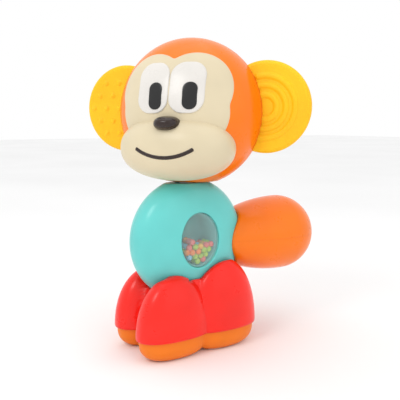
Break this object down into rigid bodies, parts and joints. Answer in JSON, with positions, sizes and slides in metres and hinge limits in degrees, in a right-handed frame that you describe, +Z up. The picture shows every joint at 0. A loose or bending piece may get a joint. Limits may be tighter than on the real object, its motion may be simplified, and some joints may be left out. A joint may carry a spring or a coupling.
{
  "type": "monkey rattle toy",
  "caption": "Standing monkey rattle with turning head, chewable ears, bead windows in a disc body, a wagging tail and a rocking saddle foot.",
  "frame": {"origin": "centre of the foot's flat resting face, on the ground", "axes": "+Z up; -Y is the toy's front (the body's front edge), +Y the tail side; +X is the toy's own left. The head is drawn turned 37.5 degrees to its left, as it stands"},
  "size_m": [0.1027, 0.1185, 0.1612],
  "materials": {
    "orange_plastic": "satin-gloss moulded ABS, bright orange",
    "sole_orange": "satin moulded plastic, light orange",
    "red_plastic": "satin-gloss moulded ABS, red",
    "teal_plastic": "satin-gloss moulded ABS, turquoise",
    "chamber_plastic": "thin tinted plastic tube, grey-teal",
    "clear_window": "clear polycarbonate lens, polished",
    "bead_mix": "glossy beads in lime, orange, coral, light blue and amber",
    "cream_plastic": "satin moulded ABS, cream",
    "white_plastic": "satin moulded ABS, off-white",
    "black_plastic": "glossy black",
    "brown_plastic": "satin dark brown",
    "ear_rubber": "soft matte food-grade elastomer, yellow",
    "steel": "plain bright steel",
    "wheel_acetal": "natural acetal",
    "white_acetal": "white acetal"
  },
  "bodies": {
    "foot": {"sole": "sole_orange", "foot_housing": "red_plastic", "foot_screws": "steel", "rocker_track": "white_acetal", "rocker_click_spring": "steel"},
    "body": {"body_shell_left": "teal_plastic", "body_shell_right": "teal_plastic", "body_screws": "steel", "window_left": "clear_window", "window_right": "clear_window", "bead_chamber": "chamber_plastic", "beads": "bead_mix", "rocker_rail": "white_acetal", "neck_bearing": "white_acetal", "neck_click_spring": "steel", "tail_click_spring": "steel"},
    "tail": {"tail_slider": "white_acetal", "tail_stem": "steel", "tail_core": "white_acetal", "tail_screw": "steel", "tail_shell_upper": "orange_plastic", "tail_shell_lower": "orange_plastic", "tail_shell_screws": "steel"},
    "head": {"neck_post": "white_acetal", "neck_click_wheel": "wheel_acetal", "neck_washer": "steel", "neck_screw": "steel", "head_shell_front": "orange_plastic", "head_shell_rear": "orange_plastic", "head_screws": "steel", "face_plate": "cream_plastic", "muzzle": "cream_plastic", "eye_white_left": "white_plastic", "eye_white_right": "white_plastic", "pupil_left": "black_plastic", "pupil_right": "black_plastic", "nose": "brown_plastic", "mouth": "brown_plastic", "ear_left": "ear_rubber", "ear_right": "ear_rubber", "ear_clamp_left": "white_acetal", "ear_clamp_right": "white_acetal"}
  },
  "joints": [
    {"name": "body_rock", "type": "hinge", "parent": "foot", "child": "body", "pos_m": [0, 0, 0.057], "axis": [1, 0, 0], "range_deg": [-2, 10]},
    {"name": "tail_wag", "type": "hinge", "parent": "body", "child": "tail", "pos_m": [0, 0, 0.057], "axis": [1, 0, 0], "range_deg": [0, 6]},
    {"name": "head_turn", "type": "hinge", "parent": "body", "child": "head", "pos_m": [0, 0, 0.0868], "axis": [0, 0, 1], "continuous": true}
  ]
}
